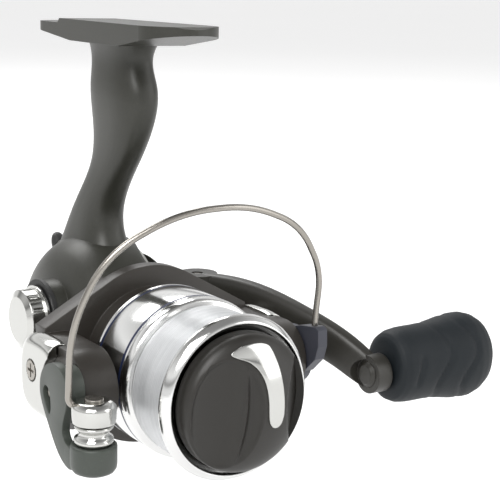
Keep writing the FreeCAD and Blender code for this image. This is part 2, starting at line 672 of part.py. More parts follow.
def make_bail():
    outer = size("arm_outer")
    gap = size("bail_gap")
    thick = size("bail_plate")
    disc_radius = size("bail_disc_radius")
    pivot_y = size("bail_pivot")
    near = -(outer + gap)
    far = near - thick
    disc = cylinder_x(disc_radius, thick, Vector(far, pivot_y, 0))
    heel = side_outline(BAIL_HEEL, far - HEEL_THICK, far + 0.1)
    cup = cylinder_z(4.1, 5.4, ROLLER + Vector(0, 0, CUP_TOP - 5.4))
    bridge = Part.makeBox(6.1, 4.4, 5.4, Vector(far - HEEL_THICK, ROLLER.y, CUP_TOP - 5.4))
    arm = disc.fuse([heel, cup, bridge])
    arm = arm.cut(cylinder_x(1.85, 8.0, Vector(far - 1, pivot_y, 0)))
    arm = arm.cut(cylinder_z(1.0, 4.4, ROLLER + Vector(0, 0, CUP_TOP - 4.4)))
    keep("bail_arm", shaped("bail_arm", arm))

    lever = cylinder_x(disc_radius, thick, Vector(outer + gap, pivot_y, 0))
    lug = side_outline([(6.0, 5.8), (2.0, 7.0), (-2.6, 7.7), (-3.6, 7.2), (-3.8, 4.0), (-2.9, 1.2),
                        (0.5, -2.0), (6.0, -3.0)], outer + gap, outer + gap + thick)
    lever = lever.fuse(lug).cut(cylinder_x(1.85, 8.0, Vector(outer - 1, pivot_y, 0)))
    lever = lever.cut(cylinder_z(size("wire_radius"), 4.0, WIRE_RIGHT_FOOT))
    keep("bail_lever", shaped("bail_lever", lever))

    wire = swept_round(rounded_path(WIRE_CORNERS), size("wire_radius"))
    keep("bail_wire", shaped("bail_wire", wire))
    collar = cylinder_z(3.93, 3.3, ROLLER + Vector(0, 0, -2.5))
    crown = Part.makeCone(3.93, 3.1, 0.6, ROLLER + Vector(0, 0, 0.8), Vector(0, 0, 1))
    collar = collar.fuse(crown).cut(cylinder_z(1.0, 6.0, ROLLER + Vector(0, 0, -3)))
    collar = collar.cut(swept_round(rounded_path(WIRE_CORNERS), size("wire_radius")))
    keep("wire_collar", shaped("wire_collar", collar))
    pin = cylinder_z(1.0, 12.2, ROLLER + Vector(0, 0, CUP_TOP - 4.4))
    head = cylinder_z(1.7, 0.5, ROLLER + Vector(0, 0, 1.4))
    keep("roller_screw", shaped("roller_screw", pin.fuse(head)))


WIRE_RIGHT_FOOT = Vector(25.4, -1.0, 4.4)
WIRE_CORNERS = [
    ROLLER + Vector(-1.8, 1.2, 0.0),
    ROLLER + Vector(-3.9, 2.0, 0.9),
    Vector(-28.2, -3.6, 14.0),
    Vector(-23.0, -6.2, 27.0),
    Vector(-9.5, -7.9, 33.6),
    Vector(5.0, -7.7, 33.9),
    Vector(17.5, -6.0, 29.0),
    Vector(24.6, -3.4, 19.0),
    Vector(25.4, -1.0, 9.0),
    WIRE_RIGHT_FOOT,
]


def make_line_roller():
    rows = [("1.35", "-6.2"), ("3.5", "-6.2"), ("3.5", "-5.7"), ("2.9", "-5.4"), ("2.9", "-4.3"),
            ("3.3", "-4.0"), ("3.5", "-2.8"), ("1.35", "-2.8")]
    roller = turned("line_roller", rows, "Z", ("-<roller_out>", "<roller_front>", "0"))
    keep("line_roller", roller)
    bush_rows = [("1.05", "-6.2"), ("1.3", "-6.2"), ("1.3", "-2.8"), ("1.05", "-2.8")]
    bush = turned("roller_bush", bush_rows, "Z", ("-<roller_out>", "<roller_front>", "0"))
    keep("roller_bush", bush)


# ---------------------------------------------------------------- spool, line and drag

def make_spool():
    rows = [
        ("1.55", "<drag_pot_floor>"), ("<drag_pot_radius>", "<drag_pot_floor>"),
        ("<drag_pot_radius>", "<lip_front> + 0.2"), ("9.2", "<lip_front> + 0.2"),
        ("<recess_radius>", "<lip_front> - 0.6"),
        ("<recess_radius>", "<recess_front>"), ("<lip_radius> - 0.7", "<recess_front> + 0.5"),
        ("<lip_radius>", "<lip_front>"), ("<lip_radius>", "<lip_front> + 0.5"),
        ("<arbor_radius>", "<lip_front> + 1.6"), ("<arbor_radius>", "-0.4"),
        ("<skirt_radius> - 0.5", "<skirt_front> - 1.0"), ("<skirt_radius>", "<skirt_front>"),
        ("<skirt_radius>", "<skirt_rear>"), ("<skirt_radius> - <skirt_wall>", "<skirt_rear>"),
        ("<skirt_radius> - <skirt_wall>", "<skirt_front> + 1.2"),
        ("<arbor_bore>", "<skirt_front> + 1.2"), ("<arbor_bore>", "-3.6"), ("1.55", "-3.6"),
    ]
    keep("spool", turned("spool", rows))
    line = [
        ("<arbor_radius>", "<lip_front> + 1.6"), ("<line_radius>", "<lip_front> + 0.72"),
        ("<line_radius> + 0.1", "-5.0"), ("<line_radius>", "0.1"), ("<arbor_radius>", "-0.4"),
    ]
    keep("line_winding", turned("line_winding", line))
    click = cylinder_y(5.4, 1.0, Vector(0, -3.4, 0)).cut(cylinder_y(3.6, 1.0, Vector(0, -3.4, 0)))
    teeth = []
    for k in range(24):
        notch = Part.makeBox(0.7, 1.2, 0.7, Vector(5.0, -3.5, -0.35))
        notch.rotate(Vector(0, 0, 0), Vector(0, 1, 0), 15.0 * k)
        teeth.append(notch)
    keep("click_ratchet", shaped("click_ratchet", click.cut(Part.makeCompound(teeth))))


DISC_THICK = 0.5


def make_drag():
    metal = []
    felt = []
    for k in range(5):
        start = "<drag_pot_floor> - %s" % ((k + 1) * DISC_THICK)
        disc = ring("drag_disc_%d" % k, 1.6, 6.7, start, DISC_THICK)
        (felt if k % 2 == 0 else metal).append(disc)
    keep("drag_felt_washers", grouped("drag_felt_washers", felt))
    keep("drag_metal_washers", grouped("drag_metal_washers", metal))
    y = size("drag_pot_floor") - 6 * DISC_THICK
    clip = cylinder_y(6.9, 0.4, Vector(0, y + 0.05, 0)).cut(cylinder_y(6.0, 0.4, Vector(0, y + 0.05, 0)))
    clip = clip.cut(Part.makeBox(2.0, 1.0, 9.0, Vector(-1.0, y - 0.2, 0)))
    keep("drag_clip", shaped("drag_clip", clip))


KNOB_DISC_RADIUS = 12.7
KNOB_BACK = -12.5
KNOB_DISC_FRONT = -15.6
DOME_CENTRE = 4.3
DOME_RADIUS = 23.7


def knob_dome():
    dome = Part.makeSphere(DOME_RADIUS, Vector(0, DOME_CENTRE, 0))
    return dome.common(cylinder_y(11.9, KNOB_BACK + 24.0, Vector(0, -24.0, 0)))


def dish(centre):
    """One of the two finger hollows beside the knob's ridge."""
    bowl = Part.makeSphere(1.0)
    stretch = FreeCAD.Matrix()
    stretch.scale(Vector(6.8, 3.6, 9.8))
    bowl = bowl.transformGeometry(stretch)
    bowl.translate(centre)
    return bowl


def make_drag_knob():
    disc = cylinder_y(KNOB_DISC_RADIUS, KNOB_BACK - KNOB_DISC_FRONT, Vector(0, KNOB_DISC_FRONT, 0))
    knob = disc.fuse(knob_dome())
    for centre in (Vector(-5.2, -20.5, -0.8), Vector(13.4, -20.5, -0.8)):
        knob = knob.cut(dish(centre))
    insert = insert_solid()
    stem = cylinder_y(4.6, 1.4, Vector(0, KNOB_BACK, 0))
    knob = knob.fuse(stem).cut(insert).cut(cylinder_y(1.6, 5.0, Vector(0, KNOB_BACK - 3.4, 0)))
    knob = knob.cut(cylinder_y(4.0, 3.0, Vector(0, KNOB_BACK - 1.4, 0)))
    keep("drag_knob", shaped("drag_knob", knob))
    keep("drag_knob_insert", shaped("drag_knob_insert", insert))
    keep("drag_nut", ring("drag_nut", 1.55, 4.0, KNOB_BACK - 1.4, 1.4))
    keep("drag_spring", ring("drag_spring", 2.6, 3.4, -9.9, 1.2))


def insert_solid():
    """The bright crescent let into the front ridge of the drag knob."""
    skin = Part.makeSphere(DOME_RADIUS + 0.1, Vector(0, DOME_CENTRE, 0))
    skin = skin.cut(Part.makeSphere(DOME_RADIUS - 0.7, Vector(0, DOME_CENTRE, 0)))
    outline = [(-4.9, 10.0), (-2.7, 11.1), (1.8, 11.2), (3.3, 10.8), (4.0, 9.7), (5.4, 4.4), (5.9, -2.0),
               (5.3, -3.6), (3.6, -4.0), (2.7, -3.3), (2.3, -1.4), (2.2, 1.4), (1.6, 4.6), (0.3, 7.0),
               (-1.4, 8.6), (-3.5, 9.3)]
    loop = [Vector(x, -26.0, z) for x, z in outline]
    tool = Part.Face(Part.makePolygon(loop + loop[:1])).extrude(Vector(0, 14.0, 0))
    return skin.common(tool)


# ---------------------------------------------------------------- crank

def make_crank_base():
    keep("handle_collar", ring("handle_collar", "<gear_shaft_radius>", 6.6, 12.9, 2.6, "X", CRANK_LINE))
    hinge = size("hinge_out")
    square = Part.makeBox(10.0, 3.1, 3.1, CRANK + Vector(6.0, -1.55, -1.55))
    neck = cylinder_x(4.4, 1.7, CRANK + Vector(15.6, 0, 0))
    tongue = cylinder_z(3.3, 6.0, CRANK + Vector(hinge, 0, -3.0))
    web = Part.makeBox(hinge - 16.8, 6.4, 6.0, CRANK + Vector(16.8, -3.2, -3.0))
    base = neck.fuse([square, tongue, web])
    base = base.cut(cylinder_z(1.2, 8.0, CRANK + Vector(hinge, 0, -4.0)))
    keep("crank_base", shaped("crank_base", base))
    foot_of_pin = ("<hinge_out>", "<crank_behind>", "<crank_above> - 5.2")
    keep("hinge_pin", rod("hinge_pin", 1.2, 10.4, "Z", foot_of_pin))


# y, x, z, half thickness, half height of the crank arm
ARM_STATIONS = [
    (37.0, 22.4, 5.3, 2.9, 5.3),
    (30.5, 25.8, 5.8, 2.6, 5.0),
    (21.5, 29.5, 5.1, 2.3, 4.6),
    (12.5, 32.7, 3.0, 2.1, 4.3),
    (4.5, 35.8, 0.3, 2.0, 4.0),
    (-0.5, 38.2, -2.6, 1.8, 3.8),
    (-2.6, 39.2, -3.8, 1.5, 3.4),
]
KNOB_AXIS = Vector(0, size("crank_end_behind"), size("crank_end_above"))


def make_crank_arm():
    rings = []
    for y, x, z, thick, high in ARM_STATIONS:
        rings.append(oval(Vector(x, y, z), Vector(thick, 0, 0), Vector(0, 0, high), 3.4))
    hinge = CRANK + Vector(size("hinge_out"), 0, 0)
    end = size("arm_end_out")
    boss = cylinder_x(3.9, 3.4, KNOB_AXIS + Vector(end, 0, 0))
    ear = cylinder_z(4.3, 10.8, hinge + Vector(0, 0, -5.4))
    ear.rotate(hinge, Vector(0, 0, 1), 90)
    arm = lofted(rings).fuse([boss, ear])
    slot = Part.makeBox(24.0, 20.0, 6.6, hinge + Vector(-12.0, -3.9, -3.3))
    swing = cylinder_z(4.0, 6.6, hinge + Vector(0, 0, -3.3))
    arm = arm.cut(slot.fuse(swing)).cut(cylinder_z(1.25, 14.0, hinge + Vector(0, 0, -7.0)))
    arm = arm.cut(cylinder_x(size("knob_shaft_radius"), 9.0, KNOB_AXIS + Vector(end - 3.0, 0, 0)))
    arm = arm.cut(cylinder_x(3.1, 4.0, KNOB_AXIS + Vector(end - 4.0, 0, 0)))
    keep("crank_arm", shaped("crank_arm", arm))
    shaft = cylinder_x(size("knob_shaft_radius"), 24.0, KNOB_AXIS + Vector(end, 0, 0))
    rivet = Part.makeCone(2.7, 1.9, 0.7, KNOB_AXIS + Vector(end, 0, 0), Vector(-1, 0, 0))
    shaft = shaft.fuse(rivet)
    keep("knob_shaft", shaped("knob_shaft", shaft))
    knob_line = ("0", "<crank_end_behind>", "<crank_end_above>")
    washer = ring("knob_washer", "<knob_shaft_radius>", 3.2, "<arm_end_out> + 3.4", 0.5, "X", knob_line)
    keep("knob_washer", washer)


# distance out from the arm's inner face, half depth, half height of the handle knob
KNOB_STATIONS = [
    (4.3, 5.0, 5.6), (4.9, 6.0, 6.7), (6.4, 6.6, 7.5), (10.0, 6.8, 7.8), (15.0, 7.0, 7.9), (20.0, 7.6, 8.7),
    (24.5, 7.7, 9.0), (28.2, 6.4, 7.5), (30.0, 4.4, 5.2), (30.6, 2.6, 3.0),
]
KNOB_RISE = 0.9


def make_handle_knob():
    end = size("arm_end_out")
    rings = []
    for x, deep, high in KNOB_STATIONS:
        middle = KNOB_AXIS + Vector(end + x, 0, KNOB_RISE)
        rings.append(oval(middle, Vector(0, deep, 0), Vector(0, 0, high), 2.2))
    shaft_room = size("knob_shaft_radius") + size("running_gap")
    bore = cylinder_x(shaft_room, 22.0, KNOB_AXIS + Vector(end + 3.0, 0, 0))
    keep("handle_knob", shaped("handle_knob", lofted(rings).cut(bore)))


def make_screw_cap():
    """The cap on the far end of the gear shaft; its screw holds the crank in."""
    flange = cylinder_x(6.6, 0.7, CRANK + Vector(-16.3, 0, 0))
    drum = cylinder_x(6.0, 3.0, CRANK + Vector(-19.2, 0, 0))
    crown = Part.makeCone(6.0, 4.6, 0.7, CRANK + Vector(-19.2, 0, 0), Vector(-1, 0, 0))
    screw = cylinder_x(1.5, 15.0, CRANK + Vector(-17.0, 0, 0))
    cap = flange.fuse([drum, crown, screw])
    for k in range(12):
        groove = cylinder_x(0.5, 2.2, CRANK + Vector(-18.8, 6.2, 0))
        groove.rotate(CRANK, Vector(1, 0, 0), 30.0 * k)
        cap = cap.cut(groove)
    keep("screw_cap", shaped("screw_cap", cap))


# ---------------------------------------------------------------- build, check, write

make_frame()
make_frame_fittings()
make_anti_reverse_lever()
make_drive_gear()
make_pinion()
make_oscillation_gear()
make_slider_and_shaft()
make_rotor()
make_arm_covers()
make_rotor_fittings()
make_bail_spring()
make_bail()
make_line_roller()
make_spool()
make_drag()
make_drag_knob()
make_crank_base()
make_crank_arm()
make_handle_knob()
make_screw_cap()
doc.recompute()

for thing in doc.Objects:
    if "Invalid" in thing.State or "Error" in thing.State:
        raise RuntimeError("%s failed to compute" % thing.Label)
for name, thing in nodes.items():
    if thing.Shape.isNull() or not thing.Shape.isValid():
        raise RuntimeError("%s has a bad shape" % name)

os.makedirs("parts", exist_ok=True)
for name, thing in nodes.items():
    thing.Shape.exportStep("parts/%s.step" % name)
print("%d sub-parts" % len(nodes))
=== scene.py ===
"""The looks of a small spinning reel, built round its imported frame.

Outlines are in millimetres from the spool axis; everything handed to Blender is in metres.
"""
import json
import math

import bmesh
import bpy
from mathutils import Matrix, Vector


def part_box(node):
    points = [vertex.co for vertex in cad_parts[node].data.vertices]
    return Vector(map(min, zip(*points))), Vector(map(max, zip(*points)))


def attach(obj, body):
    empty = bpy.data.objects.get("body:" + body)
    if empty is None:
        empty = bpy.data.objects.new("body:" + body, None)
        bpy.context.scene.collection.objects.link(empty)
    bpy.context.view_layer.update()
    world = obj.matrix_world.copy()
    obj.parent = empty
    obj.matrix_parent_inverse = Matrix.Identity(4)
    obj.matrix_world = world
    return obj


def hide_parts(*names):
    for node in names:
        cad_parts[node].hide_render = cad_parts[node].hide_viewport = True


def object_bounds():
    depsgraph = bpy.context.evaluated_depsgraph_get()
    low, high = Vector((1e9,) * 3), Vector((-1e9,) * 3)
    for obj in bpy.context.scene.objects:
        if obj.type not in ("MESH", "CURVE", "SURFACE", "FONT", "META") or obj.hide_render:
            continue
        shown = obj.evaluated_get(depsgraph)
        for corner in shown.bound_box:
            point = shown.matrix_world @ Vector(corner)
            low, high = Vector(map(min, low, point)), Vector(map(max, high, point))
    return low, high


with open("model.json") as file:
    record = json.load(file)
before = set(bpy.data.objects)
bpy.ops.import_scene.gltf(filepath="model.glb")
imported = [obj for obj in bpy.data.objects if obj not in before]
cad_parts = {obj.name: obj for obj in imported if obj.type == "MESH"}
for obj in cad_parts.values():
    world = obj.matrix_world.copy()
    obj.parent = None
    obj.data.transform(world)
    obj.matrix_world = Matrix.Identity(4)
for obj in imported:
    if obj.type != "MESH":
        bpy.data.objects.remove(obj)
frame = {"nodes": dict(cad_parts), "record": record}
cad_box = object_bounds()

MM = 0.001
HUB = Vector((0.0, -0.032, -0.0645))
SOFT_EDGE = 0.25 * MM


# ---------------------------------------------------------------- finishes

class Signal:
    """A value in a finish's node tree; arithmetic on it adds Math nodes."""

    def __init__(self, finish, socket):
        self.finish = finish
        self.socket = socket

    def maths(self, operation, *values):
        sockets = dict(enumerate(values))
        return self.finish.add("ShaderNodeMath", {"operation": operation}, sockets)

    def __add__(self, other):
        return self.maths("ADD", self, other)

    __radd__ = __add__

    def __sub__(self, other):
        return self.maths("SUBTRACT", self, other)

    def __rsub__(self, other):
        return self.maths("SUBTRACT", other, self)

    def __mul__(self, other):
        return self.maths("MULTIPLY", self, other)

    __rmul__ = __mul__

    def __pow__(self, other):
        return self.maths("POWER", self, other)

    def above(self, level):
        return self.maths("GREATER_THAN", self, level)

    def below(self, level):
        return self.maths("LESS_THAN", self, level)

    def wave(self):
        return self.maths("SINE", self)

    def root(self):
        return self.maths("SQRT", self)


class Finish:
    """One material: a Principled surface whose sockets take numbers, colours or signals."""

    def __init__(self, name):
        self.material = bpy.data.materials.new(name)
        self.material.use_nodes = True
        self.tree = self.material.node_tree
        self.tree.nodes.clear()
        self.place = self.add("ShaderNodeTexCoord", output="Object")

    def add(self, kind, settings=None, sockets=None, output=0):
        node = self.tree.nodes.new(kind)
        for key, value in (settings or {}).items():
            setattr(node, key, value)
        for key, value in (sockets or {}).items():
            if isinstance(value, Signal):
                self.tree.links.new(value.socket, node.inputs[key])
            elif isinstance(value, tuple) and node.inputs[key].type == "RGBA":
                node.inputs[key].default_value = (*value, 1.0)
            else:
                node.inputs[key].default_value = value
        return Signal(self, node.outputs[output]) if node.outputs else None

    def noise(self, scale, detail=3.0, place=None, roughness=0.5):
        sockets = {"Vector": place or self.place, "Scale": scale, "Detail": detail, "Roughness": roughness}
        return self.add("ShaderNodeTexNoise", {}, sockets)

    def stretched(self, scale):
        return self.add("ShaderNodeMapping", {}, {"Vector": self.place, "Scale": scale})

    def coordinate(self, axis):
        return self.add("ShaderNodeSeparateXYZ", {}, {"Vector": self.place}, output=axis)

    def blend(self, amount, first, second):
        """Mix two colours; the Mix node's colour sockets can only be told apart by number."""
        settings = {"data_type": "RGBA", "blend_type": "MIX", "clamp_factor": True}
        return self.add("ShaderNodeMix", settings, {0: amount, 6: first, 7: second}, output=2)

    def bump(self, height, depth, strength):
        rounded = self.add("ShaderNodeBevel", {"samples": 4}, {"Radius": SOFT_EDGE})
        sockets = {"Height": height, "Distance": depth, "Strength": strength, "Normal": rounded}
        return self.add("ShaderNodeBump", {}, sockets)

    def surface(self, **sockets):
        named = {key.replace("_", " ").title().replace("Ior", "IOR"): value for key, value in sockets.items()}
        shader = self.add("ShaderNodeBsdfPrincipled", {}, named)
        self.add("ShaderNodeOutputMaterial", {}, {"Surface": shader})
        return self.material


def speckled_paint(name, dark, light, gloss, speckle=2600.0):
    """Satin paint with a fine metallic fleck, slightly uneven in tone."""
    f = Finish(name)
    cloud = f.noise(90.0, 2.0)
    fleck = f.noise(speckle, 2.0, roughness=0.7)
    grain = f.noise(speckle * 2.2, 1.0)
    colour = f.blend(cloud * 0.45 + fleck * 0.55, dark, light)
    bright = fleck.above(0.70) * 0.22
    colour = f.blend(bright, colour, tuple(min(1.0, c * 2.2 + 0.03) for c in light))
    return f.surface(
        base_color=colour, roughness=gloss + fleck * 0.14 - bright * 0.2, metallic=0.15 + bright,
        normal=f.bump(grain * 0.6 + fleck * 0.4, 0.00003, 0.55), specular_ior_level=0.5,
    )


def polished_metal(name, tint, gloss, lines):
    """Bright metal with faint turning lines."""
    f = Finish(name)
    ring = f.noise(lines, 2.0, f.stretched((0.02, 1.0, 0.02)))
    haze = f.noise(160.0, 4.0)
    colour = f.blend(haze * 0.3, tint, tuple(c * 0.86 for c in tint))
    return f.surface(
        base_color=colour, metallic=1.0, roughness=gloss + ring * 0.06 + haze * 0.04,
        normal=f.bump(ring, 0.000006, 0.5),
    )


def brushed(name, tint, gloss):
    f = Finish(name)
    streak = f.noise(2200.0, 2.0, f.stretched((1.0, 0.12, 1.0)))
    haze = f.noise(300.0, 3.0)
    colour = f.blend(haze * 0.35, tint, tuple(c * 0.8 for c in tint))
    return f.surface(base_color=colour, metallic=1.0, roughness=gloss + streak * 0.12,
                     normal=f.bump(streak, 0.000008, 0.5))


def moulded(name, tint, gloss, grain=1500.0, depth=0.00002, **more):
    f = Finish(name)
    fine = f.noise(grain, 3.0)
    cloud = f.noise(120.0, 2.0)
    colour = f.blend(cloud * 0.5 + fine * 0.3, tuple(c * 0.82 for c in tint), tuple(c * 1.18 for c in tint))
    return f.surface(base_color=colour, roughness=gloss + fine * 0.12,
                     normal=f.bump(fine, depth, 0.5), **more)


def skirt_metal():
    """The spool: polished and turned, with two plain dark bands round its skirt."""
    f = Finish("spool_bright")
    along = f.coordinate("Y")
    ring = f.noise(5200.0, 2.0, f.stretched((0.02, 1.0, 0.02)))
    haze = f.noise(160.0, 4.0)
    bright = f.blend(haze * 0.3, (0.72, 0.72, 0.71), (0.62, 0.62, 0.62))
    front = HUB.y + 2.6 * MM
    back = HUB.y + 11.6 * MM
    wide = 0.7 * MM
    bands = along.above(front) * along.below(front + wide) + along.above(back) * along.below(back + wide)
    radius = ((f.coordinate("Z") - HUB.z) ** 2.0 + f.coordinate("X") ** 2.0).root()
    bands = bands * radius.above(15.3 * MM)
    return f.surface(
        base_color=f.blend(bands, bright, (0.010, 0.016, 0.050)), metallic=1.0 - bands * 0.9,
        roughness=0.09 + ring * 0.07 + haze * 0.03 + bands * 0.2, normal=f.bump(ring, 0.000005, 0.5),
    )


def wound_line():
    """Pale line wound in close turns that cross at a slight angle."""
    f = Finish("wound_line")
    along = f.coordinate("Y")
    height = f.coordinate("Z")
    drift = f.noise(130.0, 2.0)
    turns = ((along * 21000.0) + (drift * 5.0) + (height * 260.0)).wave()
    layer = f.noise(900.0, 3.0, f.stretched((0.08, 1.0, 0.08)))
    colour = f.blend(turns * 0.25 + layer * 0.6, (0.44, 0.45, 0.46), (0.82, 0.83, 0.84))
    return f.surface(base_color=colour, roughness=0.24 + layer * 0.2, metallic=0.35,
                     normal=f.bump(turns * 0.6 + layer, 0.00006, 0.6), coat_weight=0.25, coat_roughness=0.15)


def grip_rubber():
    f = Finish("grip_rubber")
    pores = f.noise(3200.0, 2.0)
    cloud = f.noise(140.0, 3.0)
    dust = f.noise(45.0, 3.0)
    colour = f.blend(cloud * 0.5 + pores * 0.2, (0.004, 0.006, 0.008), (0.008, 0.012, 0.015))
    colour = f.blend(dust.above(0.6) * 0.12, colour, (0.02, 0.024, 0.028))
    return f.surface(base_color=colour, roughness=0.52 + pores * 0.16, specular_ior_level=0.3,
                     normal=f.bump(pores, 0.00004, 0.45))


LOOKS = {
    "olive_paint": speckled_paint("olive_paint", (0.019, 0.019, 0.015), (0.034, 0.034, 0.027), 0.33),
    "graphite": speckled_paint("graphite", (0.022, 0.019, 0.016), (0.036, 0.032, 0.027), 0.30),
    "arm_paint": speckled_paint("arm_paint", (0.018, 0.017, 0.014), (0.030, 0.028, 0.023), 0.32),
    "bail_plate": speckled_paint("bail_plate", (0.034, 0.040, 0.034), (0.058, 0.066, 0.056), 0.36, 3400.0),
    "lever_plate": speckled_paint("lever_plate", (0.030, 0.032, 0.042), (0.046, 0.048, 0.062), 0.36, 3400.0),
    "bright_metal": skirt_metal(),
    "bright_trim": polished_metal("bright_trim", (0.56, 0.56, 0.54), 0.06, 3000.0),
    "steel": brushed("wire_steel", (0.34, 0.32, 0.29), 0.16),
    "knob_plastic": speckled_paint("knob_plastic", (0.011, 0.010, 0.008), (0.018, 0.016, 0.013), 0.34, 3000.0),
    "grip": grip_rubber(),
    "seal_rubber": moulded("seal_rubber", (0.012, 0.012, 0.012), 0.5),
    "pale_collar": moulded("pale_collar", (0.42, 0.41, 0.34), 0.36),
    "gear_zinc": moulded("gear_zinc", (0.45, 0.45, 0.43), 0.42, metallic=0.9),
    "gear_brass": brushed("gear_brass", (0.72, 0.54, 0.26), 0.28),
    "white_plastic": moulded("white_plastic", (0.66, 0.66, 0.62), 0.4),
    "felt": moulded("felt", (0.10, 0.09, 0.08), 0.85, 900.0, 0.0001),
    "line": wound_line(),
    "switch_plastic": moulded("switch_plastic", (0.012, 0.012, 0.012), 0.4),
}

slot_of = {entry["node"]: entry["material_slot"] for entry in frame["record"]["subparts"]}
for node, thing in frame["nodes"].items():
    for place in thing.material_slots:
        place.material = LOOKS[slot_of[node]]


# ---------------------------------------------------------------- shaping helpers

def finished_piece(name, bm, body, nodes, slot):
    """Turn a bmesh into a piece that rides on a body and stands for its CAD nodes."""
    bmesh.ops.remove_doubles(bm, verts=bm.verts, dist=1e-7)
    bmesh.ops.recalc_face_normals(bm, faces=bm.faces)
    mesh = bpy.data.meshes.new(name)
    for face in bm.faces:
        face.smooth = True
    bm.to_mesh(mesh)
    bm.free()
    piece = bpy.data.objects.new(name, mesh)
    bpy.context.scene.collection.objects.link(piece)
    mesh.materials.append(LOOKS[slot])
    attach(piece, body)
    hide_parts(*nodes)
    return piece


def eased(bm, width, sharp, segments=3):
    """Round every edge that turns by more than the given angle in degrees; the width is in mm."""
    edges = [e for e in bm.edges if len(e.link_faces) == 2 and math.degrees(e.calc_face_angle(0.0)) > sharp]
    bmesh.ops.bevel(bm, geom=edges, offset=width * MM, segments=segments, profile=0.5,
                    affect="EDGES", clamp_overlap=True, material=-1)


def hub(out, along, rise):
    """A point given in mm from the spool axis."""
    return HUB + Vector((out, along, rise)) * MM


def from_hub(vert):
    """How far out, along and up a vertex lies from the hub, in mm."""
    return (vert.co - HUB) / MM


def outlined(bm, points, closed=True):
    """Vertices at the given places, and the edges that join them in order."""
    verts = [bm.verts.new(point) for point in points]
    ends = verts[1:] + verts[:1] if closed else verts[1:]
    return verts, [bm.edges.new(pair) for pair in zip(verts, ends)]


def spun(outline, place, centre, axis, steps):
    """A turned solid; outline is (radius, distance) in mm and closes on itself, or on the axis."""
    bm = bmesh.new()
    verts, edges = outlined(bm, [place(*row) for row in outline], closed=outline[0][0] > 0.0)
    bmesh.ops.spin(bm, geom=verts + edges, cent=centre, axis=axis, angle=math.tau,
                   steps=steps, use_merge=True, use_duplicate=False)
    bmesh.ops.remove_doubles(bm, verts=bm.verts, dist=1e-6)
    bmesh.ops.recalc_face_normals(bm, faces=bm.faces)
    return bm


def spun_about_hub(outline, steps):
    """A piece turned about the spool axis."""
    return spun(outline, lambda radius, along: hub(radius, along, 0.0), HUB, (0.0, 1.0, 0.0), steps)


def spun_upright(outline, out, along):
    """A piece turned about an upright axis."""
    return spun(outline, lambda radius, rise: hub(out + radius, along, rise),
                hub(out, along, 0.0), (0.0, 0.0, 1.0), 96)


def thickened(bm, shift):
    """Give a flat sheet depth by a shift in mm."""
    made = bmesh.ops.extrude_face_region(bm, geom=bm.faces[:])
    moved = [g for g in made["geom"] if isinstance(g, bmesh.types.BMVert)]
    bmesh.ops.translate(bm, vec=Vector(shift) * MM, verts=moved)
    bmesh.ops.recalc_face_normals(bm, faces=bm.faces)


def side_loop(bm, outline, out):
    """A closed loop seen from the side, with its corners smoothed."""
    earlier = set(bm.verts)
    edges = outlined(bm, [hub(out, along, rise) for along, rise in outline])[1]
    bmesh.ops.subdivide_edges(bm, edges=edges, cuts=5)
    ring = [v for v in bm.verts if v not in earlier]
    for turn in range(8):
        bmesh.ops.smooth_vert(bm, verts=ring, factor=0.5, use_axis_y=True, use_axis_z=True)


def side_plate(outlines, start, end, width):
    """A flat plate seen from the side; outlines after the first are holes."""
    bm = bmesh.new()
    for outline in outlines:
        side_loop(bm, outline, start)
    bmesh.ops.triangle_fill(bm, use_beauty=True, use_dissolve=False, edges=bm.edges[:])
    thickened(bm, (end - start, 0.0, 0.0))
    eased(bm, width, 50.0)
    return bm


def joined(*parts):
    """Several shells as one bmesh."""
    whole = bmesh.new()
    for part in parts:
        mesh = bpy.data.meshes.new("shell")
        part.to_mesh(mesh)
        part.free()
        whole.from_mesh(mesh)
        bpy.data.meshes.remove(mesh)
    return whole


def softened(node, body, width):
    """The same casting with its outer edges rounded."""
    bm = bmesh.new()
    bm.from_mesh(frame["nodes"][node].data)
    bmesh.ops.remove_doubles(bm, verts=bm.verts, dist=1e-6)
    bmesh.ops.dissolve_limit(bm, angle_limit=math.radians(1.5), verts=bm.verts, edges=bm.edges)
    bmesh.ops.recalc_face_normals(bm, faces=bm.faces)
    eased(bm, width, 32.0)
    return finished_piece(node + "_casting", bm, body, [node], slot_of[node])


# ---------------------------------------------------------------- spool and line

SPOOL_OUTLINE = [
    (1.55, -5.5), (7.0, -5.5), (7.0, -11.6), (9.2, -11.6), (13.75, -12.4), (13.8, -13.35), (14.0, -13.5),
    (14.4, -13.3), (15.0, -12.4), (15.3, -11.8), (15.3, -11.3), (10.0, -10.2), (10.0, -0.4),
    (15.0, 0.2), (15.36, 0.55), (15.5, 1.2), (15.5, 2.0), (15.38, 2.1), (15.38, 2.35), (15.5, 2.45),
    (15.5, 12.3), (15.38, 12.4), (15.38, 12.65), (15.5, 12.75), (15.5, 13.3), (15.3, 13.5), (14.5, 13.5),
    (14.5, 2.4), (7.6, 2.4), (7.6, -3.6), (1.55, -3.6),
]


def make_spool():
    bm = spun_about_hub(SPOOL_OUTLINE, 200)
    eased(bm, 0.12, 30.0, 2)
    return finished_piece("spool_body", bm, "spool", ["spool"], "bright_metal")


LINE_STEPS = 46
LINE_LENGTH = 11.0
LINE_FULL = 14.42
LINE_CORE = 10.05


def make_line():
    crown = []
    for k in range(LINE_STEPS + 1):
        share = k / LINE_STEPS
        swell = 14.28 + 0.12 * math.sin(math.pi * share) + 0.035 * math.sin(2 * math.pi * k / 2.9)
        crown.append((min(swell, LINE_FULL), LINE_LENGTH * share - LINE_LENGTH))
    bm = spun_about_hub([(LINE_CORE, -10.1)] + crown + [(LINE_CORE, -0.5)], 160)
    return finished_piece("wound_turns", bm, "spool", ["line_winding"], "line")


# ---------------------------------------------------------------- handle knob

